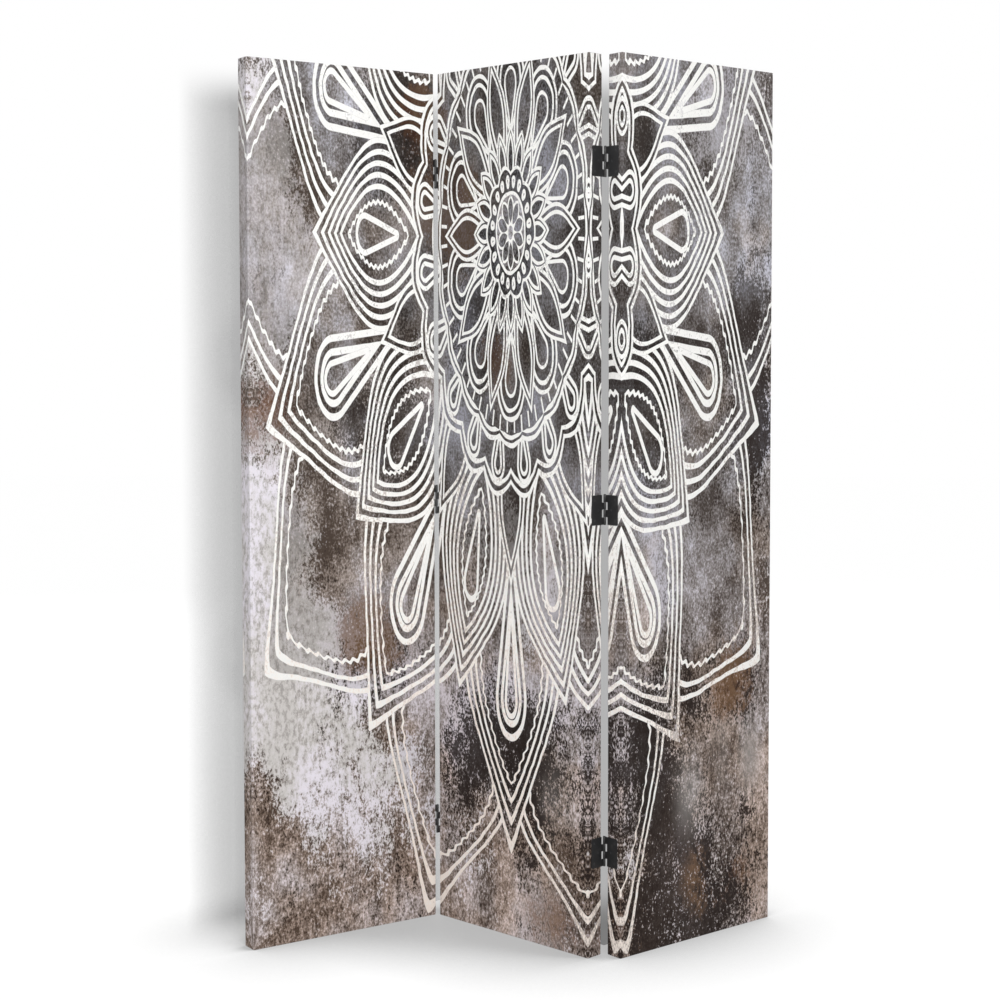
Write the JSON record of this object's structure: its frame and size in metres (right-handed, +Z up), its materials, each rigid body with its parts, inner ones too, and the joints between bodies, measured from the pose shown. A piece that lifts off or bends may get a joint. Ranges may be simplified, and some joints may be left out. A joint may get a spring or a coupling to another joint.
{
  "type": "folding screen",
  "caption": "Freestanding folding screen: tall canvas panels stretched on wooden frames, hinged edge to edge so they stand in a zigzag.",
  "frame": {"origin": "on the floor, under the middle of the box that holds the standing screen", "axes": "+Z up, +X to the right and +Y away from someone who looks at the printed front"},
  "size_m": [0.906, 0.267, 1.5],
  "materials": {
    "printed_canvas": "woven canvas with a matt greyed print",
    "stretcher_wood": "planed bare softwood",
    "hinge_black": "satin black over pressed steel",
    "pin_black": "satin black, rubbed at the head",
    "screw_black": "blackened steel",
    "staple_steel": "bright galvanised wire"
  },
  "bodies": {
    "middle_panel": {"middle_bottom_rail": "stretcher_wood", "middle_canvas_bottom_turnover": "printed_canvas", "middle_canvas_face": "printed_canvas", "middle_canvas_left_turnover": "printed_canvas", "middle_canvas_right_turnover": "printed_canvas", "middle_canvas_top_turnover": "printed_canvas", "middle_hinge_screws": "screw_black", "middle_left_stile": "stretcher_wood", "middle_lower_brace": "stretcher_wood", "middle_right_stile": "stretcher_wood", "middle_staples": "staple_steel", "middle_top_rail": "stretcher_wood", "middle_upper_brace": "stretcher_wood", "ridge_lower_hinge_middle_leaf": "hinge_black", "ridge_middle_hinge_middle_leaf": "hinge_black", "ridge_upper_hinge_middle_leaf": "hinge_black", "valley_lower_hinge_middle_leaf": "hinge_black", "valley_middle_hinge_middle_leaf": "hinge_black", "valley_upper_hinge_middle_leaf": "hinge_black"},
    "left_panel": {"left_bottom_rail": "stretcher_wood", "left_canvas_bottom_turnover": "printed_canvas", "left_canvas_face": "printed_canvas", "left_canvas_left_turnover": "printed_canvas", "left_canvas_right_turnover": "printed_canvas", "left_canvas_top_turnover": "printed_canvas", "left_hinge_screws": "screw_black", "left_left_stile": "stretcher_wood", "left_lower_brace": "stretcher_wood", "left_right_stile": "stretcher_wood", "left_staples": "staple_steel", "left_top_rail": "stretcher_wood", "left_upper_brace": "stretcher_wood", "valley_lower_hinge_outer_leaf": "hinge_black", "valley_lower_hinge_pin": "pin_black", "valley_middle_hinge_outer_leaf": "hinge_black", "valley_middle_hinge_pin": "pin_black", "valley_upper_hinge_outer_leaf": "hinge_black", "valley_upper_hinge_pin": "pin_black"},
    "right_panel": {"ridge_lower_hinge_outer_leaf": "hinge_black", "ridge_lower_hinge_pin": "pin_black", "ridge_middle_hinge_outer_leaf": "hinge_black", "ridge_middle_hinge_pin": "pin_black", "ridge_upper_hinge_outer_leaf": "hinge_black", "ridge_upper_hinge_pin": "pin_black", "right_bottom_rail": "stretcher_wood", "right_canvas_bottom_turnover": "printed_canvas", "right_canvas_face": "printed_canvas", "right_canvas_left_turnover": "printed_canvas", "right_canvas_right_turnover": "printed_canvas", "right_canvas_top_turnover": "printed_canvas", "right_hinge_screws": "screw_black", "right_left_stile": "stretcher_wood", "right_lower_brace": "stretcher_wood", "right_right_stile": "stretcher_wood", "right_staples": "staple_steel", "right_top_rail": "stretcher_wood", "right_upper_brace": "stretcher_wood"}
  },
  "joints": [
    {"name": "valley_fold_hinge", "type": "hinge", "parent": "middle_panel", "child": "left_panel", "pos_m": [-0.1396, 0.10631, 0.75], "axis": [0, 0, 1], "range_deg": [-78, 102]},
    {"name": "ridge_fold_hinge", "type": "hinge", "parent": "middle_panel", "child": "right_panel", "pos_m": [0.15871, -0.10712, 0.75], "axis": [0, 0, 1], "range_deg": [-84, 96]}
  ]
}
